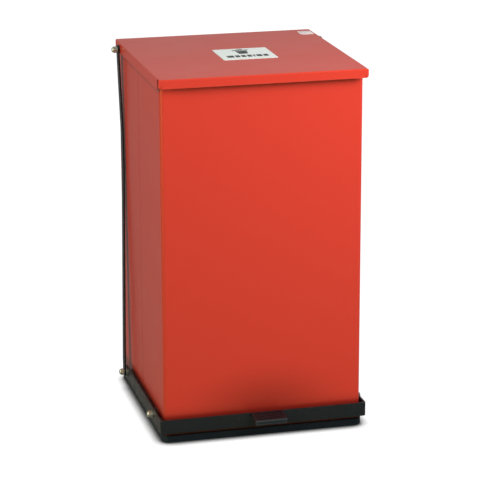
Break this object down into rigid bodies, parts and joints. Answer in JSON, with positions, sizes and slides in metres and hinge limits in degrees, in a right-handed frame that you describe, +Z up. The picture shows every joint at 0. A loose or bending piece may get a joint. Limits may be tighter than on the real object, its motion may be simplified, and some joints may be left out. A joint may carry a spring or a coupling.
{
  "type": "pedal bin",
  "caption": "Square sheet-steel pedal bin: a U-shaped foot lever round the base lifts a flat hinged lid through a flat bar on each side; a liner pail with wire handle sits inside.",
  "frame": {"origin": "on the floor, under the middle of the square cabinet", "axes": "+Z up, -Y towards the pedal and the lid's front edge, +X to the right seen from the front"},
  "size_m": [0.4124, 0.4191, 0.6687],
  "materials": {
    "red_enamel": "satin baked enamel, red",
    "black_enamel": "satin black paint on flat bar",
    "base_black": "matt black moulded rubber",
    "galvanised": "plain zinc-coated steel",
    "fastener": "bright nickel plated",
    "pedal_rubber": "matt black rubber",
    "label_white": "gloss coated paper label",
    "sticker_white": "small paper sticker",
    "liner_plastic": "grey polyethylene",
    "grip_plastic": "black moulded grip",
    "bush_plastic": "black nylon"
  },
  "bodies": {
    "cabinet": {"base_tray": "base_black", "base_rivets": "bush_plastic", "floor_pan": "galvanised", "front_shell": "red_enamel", "rear_shell": "red_enamel", "rim_frame": "red_enamel", "lid_buffers": "pedal_rubber", "hinge_body_leaf": "red_enamel", "hinge_pin": "fastener", "hinge_rivets": "fastener", "pivot_plates": "galvanised", "pivot_bolts": "fastener", "pivot_bushes": "bush_plastic", "pivot_washers": "fastener", "pivot_nuts": "fastener"},
    "lid": {"lid_panel": "red_enamel", "hinge_lid_leaf": "red_enamel", "upper_bolts": "fastener", "upper_spacers": "bush_plastic", "upper_washers": "fastener", "upper_nuts": "fastener", "lid_label": "label_white", "lid_sticker": "sticker_white"},
    "pedal": {"pedal_band": "black_enamel", "pedal_tab": "black_enamel", "pedal_pad": "pedal_rubber"},
    "lift_bar_left": {"lift_bar_left": "black_enamel", "lower_bolt_left": "fastener", "lower_nut_left": "fastener", "lower_washers_left": "fastener"},
    "lift_bar_right": {"lift_bar_right": "black_enamel", "lower_bolt_right": "fastener", "lower_nut_right": "fastener", "lower_washers_right": "fastener"},
    "pail": {"pail": "liner_plastic"},
    "bail": {"bail_wire": "fastener", "bail_grip": "grip_plastic"}
  },
  "joints": [
    {"name": "lid_hinge", "type": "hinge", "parent": "cabinet", "child": "lid", "pos_m": [0, 0.187, 0.6635], "axis": [-1, 0, 0], "range_deg": [0, 60]},
    {"name": "pedal_pivot", "type": "hinge", "parent": "cabinet", "child": "pedal", "pos_m": [0, -0.123, 0.035], "axis": [1, 0, 0], "range_deg": [0, 9.85]},
    {"name": "left_bar_eye", "type": "hinge", "parent": "lid", "child": "lift_bar_left", "pos_m": [-0.1906, 0.147, 0.6555], "axis": [1, 0, 0], "range_deg": [0, 58.9]},
    {"name": "right_bar_eye", "type": "hinge", "parent": "lid", "child": "lift_bar_right", "pos_m": [0.1906, 0.147, 0.6555], "axis": [1, 0, 0], "range_deg": [0, 58.9]},
    {"name": "pail_lift", "type": "slide", "parent": "cabinet", "child": "pail", "axis": [0, 0, 1], "range_m": [0, 0.03]},
    {"name": "bail_swing", "type": "hinge", "parent": "pail", "child": "bail", "pos_m": [0, 0, 0.5], "axis": [-1, 0, 0], "range_deg": [0, 154]}
  ],
  "couplings": [
    {"joint": "pedal_pivot", "follows": "lid_hinge", "ratio": 0.16411},
    {"joint": "left_bar_eye", "follows": "lid_hinge", "ratio": 0.98094},
    {"joint": "right_bar_eye", "follows": "lid_hinge", "ratio": 0.98094}
  ]
}
